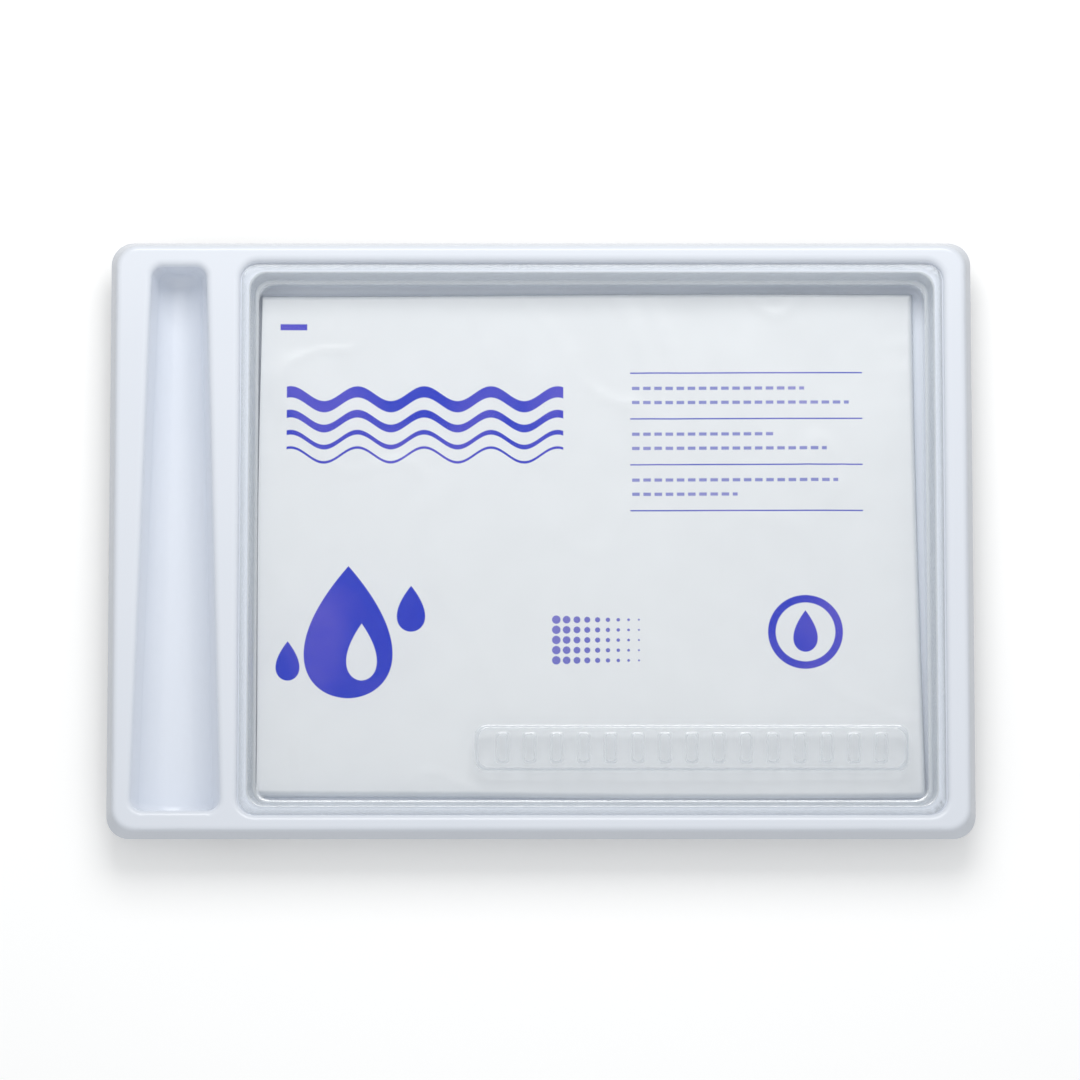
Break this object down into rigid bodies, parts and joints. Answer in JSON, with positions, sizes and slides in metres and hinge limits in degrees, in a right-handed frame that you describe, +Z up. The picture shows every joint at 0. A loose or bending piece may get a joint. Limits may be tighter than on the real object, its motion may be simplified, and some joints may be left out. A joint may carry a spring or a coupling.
{
  "type": "wet palette",
  "caption": "Shallow formed tray with a tapered brush trough and a wide well, closed by a clear plug lid over a film bag of refill sheets.",
  "frame": {"origin": "on the table under the middle of the tray's outline", "axes": "+X along the tray from the brush trough to the well, +Y away from the user, +Z up"},
  "size_m": [0.385, 0.27, 0.025],
  "materials": {
    "tray_plastic": "formed white sheet with a soft sheen",
    "clear_plastic": "clear formed sheet, glossy",
    "bag_film": "thin milky film with plain blue print",
    "blotting_paper": "thick soft white paper",
    "membrane_paper": "thin smooth translucent paper"
  },
  "bodies": {
    "tray": {"tray": "tray_plastic"},
    "lid": {"lid": "clear_plastic"},
    "refill_bag": {"refill_bag": "bag_film"},
    "reservoir_sheets": {"reservoir_sheet_1": "blotting_paper", "reservoir_sheet_2": "blotting_paper", "reservoir_sheet_3": "blotting_paper"},
    "membrane_sheets": {"membrane_sheet_1": "membrane_paper", "membrane_sheet_2": "membrane_paper", "membrane_sheet_3": "membrane_paper", "membrane_sheet_4": "membrane_paper", "membrane_sheet_5": "membrane_paper", "membrane_sheet_6": "membrane_paper", "membrane_sheet_7": "membrane_paper", "membrane_sheet_8": "membrane_paper", "membrane_sheet_9": "membrane_paper", "membrane_sheet_10": "membrane_paper", "membrane_sheet_11": "membrane_paper", "membrane_sheet_12": "membrane_paper"}
  },
  "joints": [
    {"name": "lid_lift", "type": "slide", "parent": "tray", "child": "lid", "axis": [0, 0, 1], "range_m": [0, 0.24]},
    {"name": "bag_lift", "type": "slide", "parent": "tray", "child": "refill_bag", "axis": [0, 0, 1], "range_m": [0, 0.12]},
    {"name": "reservoir_slide", "type": "slide", "parent": "refill_bag", "child": "reservoir_sheets", "axis": [-1, 0, 0], "range_m": [0, 0.03]},
    {"name": "membrane_slide", "type": "slide", "parent": "refill_bag", "child": "membrane_sheets", "axis": [-1, 0, 0], "range_m": [0, 0.045]}
  ],
  "couplings": [
    {"joint": "bag_lift", "follows": "lid_lift", "ratio": 0.5},
    {"joint": "reservoir_slide", "follows": "lid_lift", "ratio": 0.125},
    {"joint": "membrane_slide", "follows": "lid_lift", "ratio": 0.1875}
  ]
}
